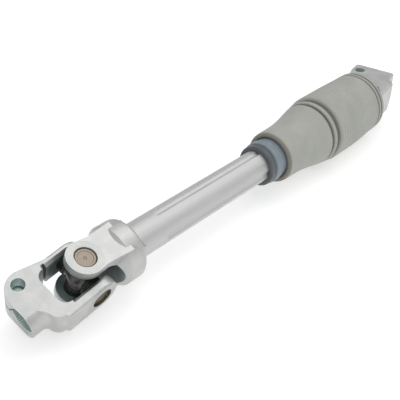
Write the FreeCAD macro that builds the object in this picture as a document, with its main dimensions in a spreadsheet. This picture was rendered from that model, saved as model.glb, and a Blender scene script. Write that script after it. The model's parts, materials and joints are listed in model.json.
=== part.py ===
# Intermediate steering shaft
# Two universal joints, a telescoping pair of tubes between them and a rubber boot over the upper end.
# Row frame: X runs along the shaft from the lower clamp to the upper one, Z is up, and the origin is
# the centre of the lower clamp's bore at its mouth, just inside the chamfer. The shaft lies on its
# boot and its lower joint.
import FreeCAD, Part
import math
import os
import Sketcher

# Sizes in millimetres and degrees
SIZES = {
    # Lie of the shaft: roll of each joint about the shaft, and how far each clamp is turned off its line
    "lower_roll": 23.6,
    "upper_roll": 2.6,
    "lower_turn": 2.0,
    "lower_bend": 12.0,
    "upper_bend": 9.5,
    # Places along the shaft, from the lower joint's centre
    "upper_joint_place": 318.0,
    "inner_shaft_end": 230.0,
    "outer_tube_start": 199.0,
    "bush_nose_start": 178.6,
    "bush_end": 261.0,
    "dust_ring_start": 177.3,
    "boot_start": 194.5,
    "boot_end": 326.5,
    # Bearing cups, needle rollers and seals
    "cup_radius": 7.2,
    "cup_length": 9.0,
    "cup_wall": 1.0,
    "cup_floor": 1.3,
    "cup_face": 18.5,
    "cup_edge": 0.7,
    "cup_fit": 0.02,
    "cup_dish_radius": 5.0,
    "cup_dish_depth": 0.3,
    "cup_dimple_radius": 1.2,
    "cup_dimple_depth": 0.4,
    "needle_radius": 1.1,
    "needle_length": 6.4,
    "needle_count": 13,
    "needle_clearance": 0.03,
    "trunnion_end_gap": 0.05,
    "trunnion_edge": 0.5,
    "seal_radius": 7.0,
    "seal_thickness": 1.7,
    "seal_lip": 0.9,
    "seal_clearance": 0.06,
    "shoulder_radius": 6.2,
    "shoulder_gap": 0.2,
    "hub_radius": 8.0,
    "grease_hole_radius": 1.1,
    "grease_hole_depth": 9.0,
    # Ears of the yokes
    "ear_radius": 12.5,
    "ear_face": 19.2,
    "ear_inside": 13.6,
    # Clamp yokes
    "lower_reach": 46.0,
    "upper_reach": 56.0,
    "lower_hub_length": 22.0,
    "upper_hub_length": 33.0,
    "clamp_bore_radius": 8.9,
    "clamp_far_face": 18.6,
    "lower_near_face": 21.0,
    "upper_near_face": 19.9,
    "lower_half_height": 11.3,
    "upper_half_height": 12.5,
    "lower_barrel_radius": 12.2,
    "upper_barrel_radius": 13.2,
    "lower_barrel_length": 6.5,
    "upper_barrel_length": 9.5,
    "flare_length": 12.0,
    "flare_fade": 6.0,
    "lower_lug_face": 23.0,
    "upper_lug_face": 22.0,
    "lug_length": 14.0,
    "lug_taper": 17.0,
    "lower_lug_corner": 13.0,
    "upper_lug_corner": 2.5,
    "window_corner": 6.0,
    "notch_start": 6.6,
    "notch_width": 2.4,
    "notch_face": 16.4,
    "arm_bevel": 2.0,
    "bolt_inset": 10.8,
    "lower_bolt_offset": 15.0,
    "upper_bolt_offset": 15.2,
    "bolt_clearance_radius": 4.5,
    "bolt_tapping_radius": 3.4,
    "slit_width": 1.6,
    "clamp_edge": 1.8,
    "mouth_chamfer": 1.4,
    # Tube yokes
    "arm_crown": 30.0,
    "throat_place": 9.0,
    "lobe_radius": 21.0,
    "lobe_start": 26.0,
    "lobe_length": 13.5,
    "lobe_round": 3.0,
    "lobe_taper": 3.5,
    "yoke_tail": 1.0,
    "arm_waist": 11.2,
    "arm_waist_place": 10.0,
    "arm_root_place": 15.0,
    "yoke_bore_radius": 6.5,
    "spigot_length": 12.0,
    "spigot_fit": 0.03,
    # Telescoping tubes
    "inner_tube_radius": 12.5,
    "inner_tube_wall": 3.0,
    "groove_radius": 3.2,
    "groove_depth": 1.3,
    "groove_start": 67.0,
    "groove_count": 4,
    "groove_angle": 6.0,
    "slide_clearance": 0.06,
    "outer_tube_wall": 2.1,
    "bush_fit": 0.03,
    # Bush nose and dust ring
    "bush_wall": 2.91,
    "bush_nose_wall": 1.34,
    "bush_ring_start": 183.4,
    "bush_ring_length": 6.6,
    "bush_ring_drop": 0.8,
    "bush_sleeve_drop": 1.3,
    "dust_ring_wall": 2.0,
    "dust_ring_drop": 0.9,
    "dust_ring_fit": 0.02,
    "dust_ring_gap": 0.4,
    "ring_edge": 0.8,
    # Boot
    "boot_wall": 1.6,
    "boot_fit": 0.05,
    "boot_mouth_gap": 1.2,
    "boot_lip_wall": 2.6,
    "boot_neck_wall": 3.5,
    "boot_flare_wall": 6.0,
    "boot_lip_end": 198.0,
    "boot_neck_end": 214.0,
    "boot_grip_end": 232.0,
    "boot_barrel_radius": 28.8,
    "boot_barrel_start": 266.0,
    "boot_barrel_end": 290.0,
    "boot_shoulder_drop": 2.5,
    "boot_bead_drop": 1.3,
    "boot_end_drop": 0.5,
    "boot_neck_swell": 0.3,
    "boot_edge": 0.8,
    "boot_rise": 4.0,
    "boot_crown": 0.5,
    "boot_groove_depth": 1.1,
    "boot_groove_slope": 0.3,
    "boot_groove_width": 2.0,
    "boot_groove_place": 245.0,
    "boot_groove_pitch": 6.4,
    "boot_end_groove_place": 317.0,
    "boot_end_groove_pitch": 4.2,
    "boot_end_groove_width": 1.3,
}

SHEET = "Sizes"
# Reach of a cutting outline across the part, and how far one stands past an end it cuts away
BIG = 60.0
OVER = 1.0

doc = FreeCAD.newDocument("IntermediateShaft")


class Size:
    """A length that carries both its number and the sheet expression that gives it."""

    def __init__(self, number, text):
        self.number = float(number)
        self.text = text

    @staticmethod
    def of(value):
        if isinstance(value, Size):
            return value
        return Size(value, repr(float(value)))

    def __add__(self, other):
        other = Size.of(other)
        return Size(self.number + other.number, "(%s + %s)" % (self.text, other.text))

    def __sub__(self, other):
        other = Size.of(other)
        return Size(self.number - other.number, "(%s - %s)" % (self.text, other.text))

    def __mul__(self, other):
        other = Size.of(other)
        return Size(self.number * other.number, "(%s * %s)" % (self.text, other.text))

    def __truediv__(self, other):
        other = Size.of(other)
        return Size(self.number / other.number, "(%s / %s)" % (self.text, other.text))

    def __neg__(self):
        return Size(-self.number, "(-1 * %s)" % self.text)

    def __radd__(self, other):
        return Size.of(other) + self

    def __rsub__(self, other):
        return Size.of(other) - self

    def __rmul__(self, other):
        return Size.of(other) * self


def make_sheet():
    """Writes every size to the sheet and gives back the aliases as Size values."""
    sheet = doc.addObject("Spreadsheet::Sheet", SHEET)
    sizes = {}
    for row, (alias, number) in enumerate(SIZES.items(), start=1):
        sheet.set("A%d" % row, alias)
        sheet.set("B%d" % row, str(number))
        sheet.setAlias("B%d" % row, alias)
        sizes[alias] = Size(number, "%s.%s" % (SHEET, alias))
    doc.recompute()
    return sizes


class Values:
    """The sizes by name, such as s.ear_radius."""

    def __init__(self, sizes):
        self.__dict__.update(sizes)


s = Values(make_sheet())


# Sketches


def sketch_on(body, role, name, offset=None):
    """A sketch on one of the body's own origin planes, moved along the plane's normal by offset."""
    plane = [item for item in body.Origin.OriginFeatures if item.Role == role][0]
    sketch = body.newObject("Sketcher::SketchObject", name)
    sketch.AttachmentSupport = [(plane, "")]
    sketch.MapMode = "FlatFace"
    if offset is not None:
        sketch.setExpression(".AttachmentOffset.Base.z", offset.text)
        sketch.AttachmentOffset = FreeCAD.Placement(FreeCAD.Vector(0, 0, offset.number), FreeCAD.Rotation())
    return sketch


def bind(sketch, constraint, size):
    index = sketch.addConstraint(constraint)
    sketch.setExpression("Constraints[%d]" % index, size.text)


def arc_between(start, end, radius):
    """The arc from start to end; a positive radius turns left (counter-clockwise) on the way."""
    chord = end.sub(start)
    half = chord.Length / 2.0
    rise = math.sqrt(max(radius * radius - half * half, 0.0))
    middle = (start + end) * 0.5
    side = FreeCAD.Vector(-chord.y, chord.x, 0).normalize()
    turn = 1.0 if radius > 0 else -1.0
    centre = middle + side * (rise * turn)
    bulge = middle - side * ((abs(radius) - rise) * turn)
    return Part.Arc(start, bulge, end), centre


def outline(sketch, corners):
    """A closed outline. Each corner is (x, y) or (x, y, radius of the arc that leads to the next one)."""
    points = [(Size.of(corner[0]), Size.of(corner[1])) for corner in corners]
    radii = [Size.of(corner[2]) if len(corner) > 2 else None for corner in corners]
    vectors = [FreeCAD.Vector(x.number, y.number, 0) for x, y in points]
    first = sketch.GeometryCount
    ends = []
    for index, radius in enumerate(radii):
        start = vectors[index]
        end = vectors[(index + 1) % len(vectors)]
        if radius is None:
            sketch.addGeometry(Part.LineSegment(start, end), False)
            ends.append((1, 2))
        else:
            arc, _ = arc_between(start, end, radius.number)
            sketch.addGeometry(arc, False)
            # A sketch keeps every arc counter-clockwise, so a right-hand turn has its ends swapped
            ends.append((1, 2) if radius.number > 0 else (2, 1))
    count = len(radii)
    for index in range(count):
        after = (index + 1) % count
        sketch.addConstraint(
            Sketcher.Constraint("Coincident", first + index, ends[index][1], first + after, ends[after][0])
        )
    for index, (x, y) in enumerate(points):
        place = (first + index, ends[index][0])
        bind(sketch, Sketcher.Constraint("DistanceX", -1, 1, place[0], place[1], x.number), x)
        bind(sketch, Sketcher.Constraint("DistanceY", -1, 1, place[0], place[1], y.number), y)
        radius = radii[index]
        if radius is not None:
            size = radius if radius.number > 0 else -radius
            bind(sketch, Sketcher.Constraint("Radius", first + index, size.number), size)


def circle(sketch, x, y, radius):
    x, y, radius = Size.of(x), Size.of(y), Size.of(radius)
    index = sketch.addGeometry(
        Part.Circle(FreeCAD.Vector(x.number, y.number, 0), FreeCAD.Vector(0, 0, 1), radius.number), False
    )
    bind(sketch, Sketcher.Constraint("DistanceX", -1, 1, index, 3, x.number), x)
    bind(sketch, Sketcher.Constraint("DistanceY", -1, 1, index, 3, y.number), y)
    bind(sketch, Sketcher.Constraint("Radius", index, radius.number), radius)


def surround(sketch, low_x, high_x, high_y):
    """A large rectangle round an outline, so that a pocket takes all that lies outside it."""
    outline(sketch, [(low_x, -high_y), (high_x, -high_y), (high_x, high_y), (low_x, high_y)])


# Features


def new_body(label):
    body = doc.addObject("PartDesign::Body", "Body_" + label)
    body.Label = label
    return body


def pad(body, sketch, length, name, side="Symmetric", flip=False):
    feature = body.newObject("PartDesign::Pad", name)
    feature.Profile = sketch
    feature.Length = Size.of(length).number
    feature.setExpression("Length", Size.of(length).text)
    feature.SideType = side
    feature.Reversed = flip
    doc.recompute()
    return feature


def cut_along(body, sketch, name, side="Symmetric", flip=False, length=None):
    """A pocket through everything, or length deep, which has to take something away."""
    before = body.Tip.Shape.Volume
    feature = body.newObject("PartDesign::Pocket", name)
    feature.Profile = sketch
    feature.SideType = side
    feature.Reversed = flip
    if length is None:
        feature.Type = "ThroughAll"
    else:
        feature.Type = "Length"
        feature.Length = Size.of(length).number
        feature.setExpression("Length", Size.of(length).text)
    doc.recompute()
    if not feature.Shape.Volume < before - 1e-3:
        raise RuntimeError("%s cuts nothing" % name)
    return feature


def axis_of(body, role):
    return [item for item in body.Origin.OriginFeatures if item.Role == role][0]


def revolve(body, sketch, role, name, cut=False, turn="whole"):
    """Turns a sketch about an axis of the body: the whole way, half way evenly to both sides, or a quarter."""
    before = body.Tip.Shape.Volume if cut else 0.0
    kind = "PartDesign::Groove" if cut else "PartDesign::Revolution"
    feature = body.newObject(kind, name)
    feature.Profile = sketch
    feature.ReferenceAxis = (axis_of(body, role), [""])
    feature.Angle = {"whole": 360.0, "half": 180.0, "quarter": 90.0}[turn]
    feature.Midplane = turn == "half"
    feature.Reversed = turn == "quarter"
    doc.recompute()
    if cut and not feature.Shape.Volume < before - 1e-3:
        raise RuntimeError("%s cuts nothing" % name)
    return feature


def edges_where(shape, test):
    return ["Edge%d" % (index + 1) for index, edge in enumerate(shape.Edges) if test(edge)]


def middle_of(edge):
    return edge.valueAt((edge.FirstParameter + edge.LastParameter) / 2.0)


def is_line(edge, direction):
    if edge.Curve.TypeId != "Part::GeomLine":
        return False
    return abs(abs(edge.Curve.Direction.normalize().dot(direction)) - 1.0) < 1e-6


def dress(body, kind, edges, size, name):
    base = body.Tip
    feature = body.newObject("PartDesign::" + kind, name)
    feature.Base = (base, edges)
    key = "Radius" if kind == "Fillet" else "Size"
    setattr(feature, key, size.number)
    feature.setExpression(key, size.text)
    doc.recompute()
    return feature


# Placements

AXIS_X = FreeCAD.Vector(1, 0, 0)
AXIS_Y = FreeCAD.Vector(0, 1, 0)
AXIS_Z = FreeCAD.Vector(0, 0, 1)


def turned(axis, degrees, base=None):
    return FreeCAD.Placement(base or FreeCAD.Vector(), FreeCAD.Rotation(axis, degrees))


# The lower clamp's own frame: its joint centre is at the frame's origin and its bore runs along -X
LOWER_CROSS_TURN = turned(AXIS_X, s.lower_roll.number).multiply(turned(AXIS_Z, s.lower_turn.number))
LOWER_CLAMP_TURN = LOWER_CROSS_TURN.multiply(turned(AXIS_Y, -s.lower_bend.number))
LOWER_MOUTH = LOWER_CLAMP_TURN.multVec(FreeCAD.Vector((s.mouth_chamfer - s.lower_reach).number, 0, 0))
LOWER_CENTRE = LOWER_MOUTH * -1.0
UPPER_CENTRE = LOWER_CENTRE + FreeCAD.Vector(s.upper_joint_place.number, 0, 0)

SHAFT = FreeCAD.Placement(LOWER_CENTRE, FreeCAD.Rotation())
LOWER_JOINT = FreeCAD.Placement(LOWER_CENTRE, FreeCAD.Rotation(AXIS_X, s.lower_roll.number))
LOWER_CROSS = FreeCAD.Placement(LOWER_CENTRE, LOWER_CROSS_TURN.Rotation)
LOWER_CLAMP = FreeCAD.Placement(LOWER_CENTRE, LOWER_CLAMP_TURN.Rotation)
UPPER_JOINT = FreeCAD.Placement(UPPER_CENTRE, FreeCAD.Rotation(AXIS_X, s.upper_roll.number))
UPPER_BENT = UPPER_JOINT.multiply(turned(AXIS_Z, s.upper_bend.number))
HALF_TURN = turned(AXIS_Y, 180.0)

# Turns that bring a bearing from +Z to each of the four arms of a cross
ARMS = {
    "top": turned(AXIS_X, 0.0),
    "bottom": turned(AXIS_X, 180.0),
    "near": turned(AXIS_X, 90.0),
    "far": turned(AXIS_X, -90.0),
}

PARTS = []


def keep(node, placement):
    node.Placement = placement
    PARTS.append(node)


# Bearings, built on +Z with the joint's centre at the origin

CUP_INSIDE = s.cup_radius - s.cup_wall
TRUNNION_RADIUS = CUP_INSIDE - 2 * s.needle_radius - 2 * s.needle_clearance
CUP_MOUTH = s.cup_face - s.cup_length
CUP_FLOOR = s.cup_face - s.cup_floor
TRUNNION_END = CUP_FLOOR - s.trunnion_end_gap
SEAL_START = CUP_MOUTH - s.seal_thickness
SHOULDER = SEAL_START - s.shoulder_gap


def bearing_cup(label):
    """A deep-drawn cup, open towards the cross, with a dished outer face."""
    body = new_body(label)
    sketch = sketch_on(body, "XZ_Plane", label + "_section")
    dimple = s.cup_face - s.cup_dish_depth - s.cup_dimple_depth
    dish = s.cup_face - s.cup_dish_depth
    outline(sketch, [
        (0, CUP_FLOOR),
        (CUP_INSIDE, CUP_FLOOR),
        (CUP_INSIDE, CUP_MOUTH),
        (s.cup_radius, CUP_MOUTH),
        (s.cup_radius, s.cup_face - s.cup_edge),
        (s.cup_radius - s.cup_edge, s.cup_face),
        (s.cup_dish_radius + s.cup_dish_depth, s.cup_face),
        (s.cup_dish_radius, dish),
        (s.cup_dimple_radius, dish),
        (s.cup_dimple_radius * 0.5, dimple),
        (0, dimple),
    ])
    revolve(body, sketch, "Z_Axis", label + "_turn")
    return body


def bearing_seal(label):
    """A rubber ring between the cup's rim and the cross's shoulder, with a lip on the trunnion."""
    body = new_body(label)
    sketch = sketch_on(body, "XZ_Plane", label + "_section")
    inner = TRUNNION_RADIUS + s.seal_clearance
    outline(sketch, [
        (inner, SEAL_START),
        (s.seal_radius - s.seal_lip, SEAL_START),
        (s.seal_radius, SEAL_START + s.seal_lip),
        (s.seal_radius, CUP_MOUTH),
        (inner + s.seal_lip, CUP_MOUTH),
        (inner, CUP_MOUTH - s.seal_lip),
    ])
    revolve(body, sketch, "Z_Axis", label + "_turn")
    return body


def needle_rollers(label):
    """The ring of loose needles between trunnion and cup, as separate solids."""
    radius = s.needle_radius.number
    path = TRUNNION_RADIUS.number + s.needle_clearance.number + radius
    low = CUP_FLOOR.number - s.needle_clearance.number - s.needle_length.number
    step = 360.0 / round(s.needle_count.number)
    needles = []
    for index in range(round(s.needle_count.number)):
        angle = math.radians(step * index)
        base = FreeCAD.Vector(path * math.cos(angle), path * math.sin(angle), low)
        needles.append(Part.makeCylinder(radius, s.needle_length.number, base, AXIS_Z))
    feature = doc.addObject("Part::Feature", "Needles_" + label)
    feature.Label = label
    feature.Shape = Part.makeCompound(needles)
    return feature


def cross(label):
    """The spider: a hub, four shoulders and four ground trunnions, each drilled for grease."""
    body = new_body(label)
    for name, plane, axis, swap in (("upright", "XZ_Plane", "Z_Axis", False), ("level", "XY_Plane", "Y_Axis", False)):
        sketch = sketch_on(body, plane, "%s_%s_section" % (label, name))
        half = [
            (s.shoulder_radius, 0),
            (s.shoulder_radius, SHOULDER),
            (TRUNNION_RADIUS, SHOULDER),
            (TRUNNION_RADIUS, TRUNNION_END - s.trunnion_edge),
            (TRUNNION_RADIUS - s.trunnion_edge, TRUNNION_END),
            (s.grease_hole_radius, TRUNNION_END),
            (s.grease_hole_radius, TRUNNION_END - s.grease_hole_depth),
            (0, TRUNNION_END - s.grease_hole_depth),
        ]
        mirrored = [(x, -Size.of(y)) for x, y in reversed(half[1:])]
        outline(sketch, half + mirrored)
        revolve(body, sketch, axis, "%s_%s" % (label, name))
    sketch = sketch_on(body, "XZ_Plane", label + "_hub_section")
    outline(sketch, [(0, -s.hub_radius, s.hub_radius), (s.hub_radius, 0, s.hub_radius), (0, s.hub_radius)])
    revolve(body, sketch, "Z_Axis", label + "_hub")
    return body


def clamp_yoke(label, reach, hub_length, near_face, half_height, barrel_radius, barrel_length, barrel_turn,
               lug_face, lug_corner, bolt_offset, tapped_on_top):
    """A forged fork with a split, splined hub that a pinch bolt closes. The hub points along -X."""
    body = new_body(label)
    hub_end = -reach
    window = hub_end + hub_length
    tip = s.ear_radius
    crown = tip - half_height
    far_face = s.clamp_far_face
    sketch = sketch_on(body, "XZ_Plane", label + "_side")
    outline(sketch, [
        (hub_end, -half_height),
        (crown, -half_height, half_height),
        (tip, 0, half_height),
        (crown, half_height),
        (hub_end, half_height),
    ])
    pad(body, sketch, BIG, label + "_block")

    # Plan outline: barrel on the near side, bolt lugs on the far side, and two arms
    flare = hub_end + barrel_length
    half_run = s.flare_length / 2
    half_drop = (near_face - barrel_radius) / 2
    bend = (half_run * half_run + half_drop * half_drop) / (half_drop * 2)
    lug_end = hub_end + s.lug_length
    shoulder = [
        (hub_end - OVER, -barrel_radius),
        (flare, -barrel_radius, -bend),
        (flare + half_run, -(barrel_radius + half_drop), bend),
        (flare + s.flare_length, -near_face),
    ]
    sketch = sketch_on(body, "XY_Plane", label + "_plan")
    outline(sketch, shoulder + [
        (tip + OVER, -near_face),
        (tip + OVER, far_face),
        (lug_end + s.lug_taper, far_face),
        (lug_end, lug_face),
        (hub_end + lug_corner, lug_face, lug_corner),
        (hub_end, lug_face - lug_corner),
        (hub_end - OVER, lug_face - lug_corner),
    ])
    surround(sketch, hub_end - 2 * OVER, tip + 2 * OVER, BIG)
    cut_along(body, sketch, label + "_plan_trim")

    # The near side of the hub is round about the bore and swells out into the arm
    sketch = sketch_on(body, "XY_Plane", label + "_barrel")
    outline(sketch, shoulder + [
        (flare + s.flare_length + s.flare_fade, -(near_face + s.flare_fade)),
        (flare + s.flare_length + s.flare_fade, -BIG),
        (hub_end - OVER, -BIG),
    ])
    revolve(body, sketch, "X_Axis", label + "_barrel_turn", cut=True, turn=barrel_turn)

    # Window between the arms, with a relief at its far corner
    corner = s.window_corner
    inside = s.ear_inside
    sketch = sketch_on(body, "XY_Plane", label + "_window")
    outline(sketch, [
        (window, corner - inside),
        (window, inside - corner, -corner),
        (window + corner, inside),
        (tip + OVER, inside),
        (tip + OVER, -inside),
        (window + corner, -inside, -corner),
    ])
    cut_along(body, sketch, label + "_window_cut")
    notch = window + s.notch_start
    sketch = sketch_on(body, "XY_Plane", label + "_notch")
    outline(sketch, [
        (notch, inside - corner),
        (notch + s.notch_width, inside - corner),
        (notch + s.notch_width, s.notch_face),
        (notch, s.notch_face),
    ])
    cut_along(body, sketch, label + "_notch_cut")

    # The arms' inner edges are bevelled
    sketch = sketch_on(body, "YZ_Plane", label + "_bevel", window + corner)
    out = half_height + OVER
    for across in (1, -1):
        for up in (1, -1):
            outline(sketch, [
                (inside * across, (half_height - s.arm_bevel) * up),
                ((inside + s.arm_bevel) * across, half_height * up),
                ((inside + s.arm_bevel) * across, out * up),
                (inside * across, out * up),
            ])
    cut_along(body, sketch, label + "_bevel_cut", side="One side", flip=True)

    # Bearing bores, clamp bore, slit and the pinch bolt's two holes
    sketch = sketch_on(body, "XZ_Plane", label + "_ears")
    circle(sketch, 0, 0, s.cup_radius + s.cup_fit)
    cut_along(body, sketch, label + "_ear_bores")
    sketch = sketch_on(body, "YZ_Plane", label + "_bore")
    circle(sketch, 0, 0, s.clamp_bore_radius)
    cut_along(body, sketch, label + "_bore_cut")
    sketch = sketch_on(body, "XY_Plane", label + "_slit")
    outline(sketch, [
        (hub_end - OVER, 0),
        (window + OVER, 0),
        (window + OVER, lug_face + OVER),
        (hub_end - OVER, lug_face + OVER),
    ])
    cut_along(body, sketch, label + "_slit_cut", length=s.slit_width)
    for name, radius, up in (
        ("clearance", s.bolt_clearance_radius, not tapped_on_top),
        ("tapping", s.bolt_tapping_radius, tapped_on_top),
    ):
        sketch = sketch_on(body, "XY_Plane", "%s_%s" % (label, name))
        circle(sketch, hub_end + s.bolt_inset, bolt_offset, radius)
        cut_along(body, sketch, "%s_%s_hole" % (label, name), side="One side", flip=up)

    mouth = edges_where(body.Shape, lambda edge: edge.Curve.TypeId == "Part::GeomCircle"
                        and abs(edge.Curve.Radius - s.clamp_bore_radius.number) < 1e-6
                        and abs(middle_of(edge).x - hub_end.number) < 1e-6)
    dress(body, "Chamfer", mouth, s.mouth_chamfer, label + "_mouth")
    arms = edges_where(body.Shape, lambda edge: is_line(edge, AXIS_X)
                       and min(abs(middle_of(edge).y - far_face.number),
                               abs(middle_of(edge).y + near_face.number)) < 1e-6
                       and abs(abs(middle_of(edge).z) - half_height.number) < 1e-6)
    dress(body, "Fillet", arms, s.clamp_edge, label + "_arm_edges")
    return body


def tube_yoke(label, tail_radius, spigot_radius, tail_length):
    """A forged fork whose shoulders swell out and run down to a round tail. The tail points along +X."""
    body = new_body(label)
    lobe = s.lobe_radius
    lobe_end = s.lobe_start + s.lobe_length
    tail_start = lobe_end + s.lobe_taper
    tail_end = tail_start + tail_length
    top = s.ear_face
    inside = s.ear_inside
    sketch = sketch_on(body, "XZ_Plane", label + "_side")
    outline(sketch, [
        (-s.ear_radius, -top),
        (s.arm_crown, -top),
        (tail_start, -tail_radius),
        (tail_end, -tail_radius),
        (tail_end, tail_radius),
        (tail_start, tail_radius),
        (s.arm_crown, top),
        (-s.ear_radius, top),
    ])
    pad(body, sketch, 2 * s.ear_radius, label + "_block")

    # Seen from above, round ears narrow to a waist and widen again towards the tail
    beyond = tail_end + OVER
    sketch = sketch_on(body, "XY_Plane", label + "_plan")
    outline(sketch, [
        (0, s.ear_radius, s.ear_radius),
        (-s.ear_radius, 0, s.ear_radius),
        (0, -s.ear_radius),
        (s.arm_waist_place, -s.arm_waist),
        (s.arm_crown, -s.ear_radius),
        (s.arm_crown, -BIG),
        (beyond, -BIG),
        (beyond, BIG),
        (s.arm_crown, BIG),
        (s.arm_crown, s.ear_radius),
        (s.arm_waist_place, s.arm_waist),
    ])
    surround(sketch, -s.ear_radius - OVER, beyond + OVER, BIG + OVER)
    cut_along(body, sketch, label + "_plan_trim")

    # The shoulders are round about the shaft's line and reach out past the arms
    sketch = sketch_on(body, "XZ_Plane", label + "_shoulder")
    outline(sketch, [
        (s.arm_root_place, 0),
        (tail_end, 0),
        (tail_end, tail_radius),
        (tail_start, tail_radius),
        (lobe_end, lobe - s.lobe_round, s.lobe_round),
        (lobe_end - s.lobe_round, lobe),
        (s.lobe_start, lobe),
        (s.arm_root_place, s.ear_radius),
    ])
    revolve(body, sketch, "X_Axis", label + "_shoulder_turn")
    sketch = sketch_on(body, "YZ_Plane", label + "_tail", tail_start)
    circle(sketch, 0, 0, BIG)
    circle(sketch, 0, 0, tail_radius)
    cut_along(body, sketch, label + "_tail_turn", side="One side", flip=True)

    # The throat between the arms is round seen from the side
    sketch = sketch_on(body, "XZ_Plane", label + "_throat")
    outline(sketch, [
        (-s.ear_radius - OVER, inside),
        (s.throat_place, inside, -inside),
        (s.throat_place + inside, 0, -inside),
        (s.throat_place, -inside),
        (-s.ear_radius - OVER, -inside),
    ])
    cut_along(body, sketch, label + "_throat_cut")

    # Spigot for the tube, then the bore through it and the bearing bores
    sketch = sketch_on(body, "YZ_Plane", label + "_spigot", tail_end)
    circle(sketch, 0, 0, spigot_radius)
    pad(body, sketch, s.spigot_length, label + "_spigot_pad", side="One side")
    sketch = sketch_on(body, "YZ_Plane", label + "_bore")
    circle(sketch, 0, 0, s.yoke_bore_radius)
    cut_along(body, sketch, label + "_bore_cut")
    sketch = sketch_on(body, "XY_Plane", label + "_ears")
    circle(sketch, 0, 0, s.cup_radius + s.cup_fit)
    cut_along(body, sketch, label + "_ear_bores")
    return body


# Tubes and what runs between them, built along +X with the lower joint's centre at the origin

SHAFT_YOKE_END = s.lobe_start + s.lobe_length + s.lobe_taper + s.yoke_tail
OUTER_TUBE_END = s.upper_joint_place - SHAFT_YOKE_END
BUSH_BORE = s.inner_tube_radius + s.slide_clearance
BUSH_BODY = BUSH_BORE + s.bush_wall
OUTER_TUBE_INSIDE = BUSH_BODY + s.bush_fit
OUTER_TUBE_RADIUS = OUTER_TUBE_INSIDE + s.outer_tube_wall


# Distance from the shaft's line to the centre of the round tool that leaves each groove
GROOVE_PLACE = s.inner_tube_radius + s.groove_radius - s.groove_depth


def groove_directions():
    """Across and up for each groove, evenly spaced round the shaft from the first one's angle."""
    count = round(s.groove_count.number)
    angles = [math.radians(s.groove_angle.number + index * 360.0 / count) for index in range(count)]
    return [(math.cos(angle), math.sin(angle)) for angle in angles]


def inner_shaft(label):
    """A drawn tube with four long grooves rolled into it, which key it to the bush."""
    body = new_body(label)
    sketch = sketch_on(body, "YZ_Plane", label + "_section", SHAFT_YOKE_END)
    circle(sketch, 0, 0, s.inner_tube_radius)
    circle(sketch, 0, 0, s.inner_tube_radius - s.inner_tube_wall)
    pad(body, sketch, s.inner_shaft_end - SHAFT_YOKE_END, label + "_tube", side="One side")
    sketch = sketch_on(body, "YZ_Plane", label + "_groove_section", s.groove_start)
    for across, up in groove_directions():
        circle(sketch, GROOVE_PLACE * across, GROOVE_PLACE * up, s.groove_radius)
    cut_along(body, sketch, label + "_grooves", side="One side", flip=True)
    return body


def turned_ring(label, inside, outside, keys_from, keys_to):
    """A ring turned about the shaft's line, with a key in its bore for each groove of the shaft."""
    body = new_body(label)
    sketch = sketch_on(body, "XZ_Plane", label + "_section")
    outline(sketch, inside + outside[::-1])
    revolve(body, sketch, "X_Axis", label + "_turn")
    for index, (across, up) in enumerate(groove_directions()):
        sketch = sketch_on(body, "YZ_Plane", "%s_key_section_%d" % (label, index + 1), keys_from)
        circle(sketch, GROOVE_PLACE * across, GROOVE_PLACE * up, s.groove_radius - s.slide_clearance)
        pad(body, sketch, keys_to - keys_from, "%s_key_%d" % (label, index + 1), side="One side")
    clear = GROOVE_PLACE + s.groove_radius + OVER
    sketch = sketch_on(body, "XZ_Plane", label + "_outside")
    outline(sketch, outside + [(outside[-1][0], clear), (outside[0][0], clear)])
    revolve(body, sketch, "X_Axis", label + "_outside_turn", cut=True)
    return body


def slide_bush(label):
    """The plastic bush that the inner shaft slides in, with a nose and a ring outside the tube."""
    nose = BUSH_BORE + s.bush_nose_wall
    ring = OUTER_TUBE_RADIUS - s.bush_ring_drop
    ring_end = s.bush_ring_start + s.bush_ring_length
    sleeve = OUTER_TUBE_RADIUS - s.bush_sleeve_drop
    return turned_ring(label, [
        (s.bush_nose_start, BUSH_BORE),
        (s.bush_end, BUSH_BORE),
    ], [
        (s.bush_nose_start, nose),
        (s.bush_ring_start, nose),
        (s.bush_ring_start, ring - s.ring_edge),
        (s.bush_ring_start + s.ring_edge, ring),
        (ring_end - s.ring_edge, ring),
        (ring_end, sleeve),
        (s.outer_tube_start, sleeve),
        (s.outer_tube_start, BUSH_BODY),
        (s.bush_end, BUSH_BODY),
    ], s.bush_nose_start, s.bush_end)


def dust_ring(label):
    """The ring that snaps over the bush's nose and wipes the shaft."""
    nose = BUSH_BORE + s.bush_nose_wall + s.dust_ring_fit
    outside = nose + s.dust_ring_wall
    lip = outside - s.dust_ring_drop
    web_end = s.bush_nose_start - s.dust_ring_fit
    end = s.bush_ring_start - s.dust_ring_gap
    return turned_ring(label, [
        (s.dust_ring_start, BUSH_BORE),
        (web_end, BUSH_BORE),
        (web_end, nose),
        (end, nose),
    ], [
        (s.dust_ring_start, lip),
        (s.dust_ring_start + s.ring_edge, outside),
        (end, outside),
    ], s.dust_ring_start, web_end)


def outer_tube(label):
    """The plain drawn tube that holds the bush and is pressed on the upper yoke's spigot."""
    body = new_body(label)
    sketch = sketch_on(body, "YZ_Plane", label + "_section", s.outer_tube_start)
    circle(sketch, 0, 0, OUTER_TUBE_RADIUS)
    circle(sketch, 0, 0, OUTER_TUBE_INSIDE)
    pad(body, sketch, OUTER_TUBE_END - s.outer_tube_start, label + "_tube", side="One side")
    return body


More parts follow.
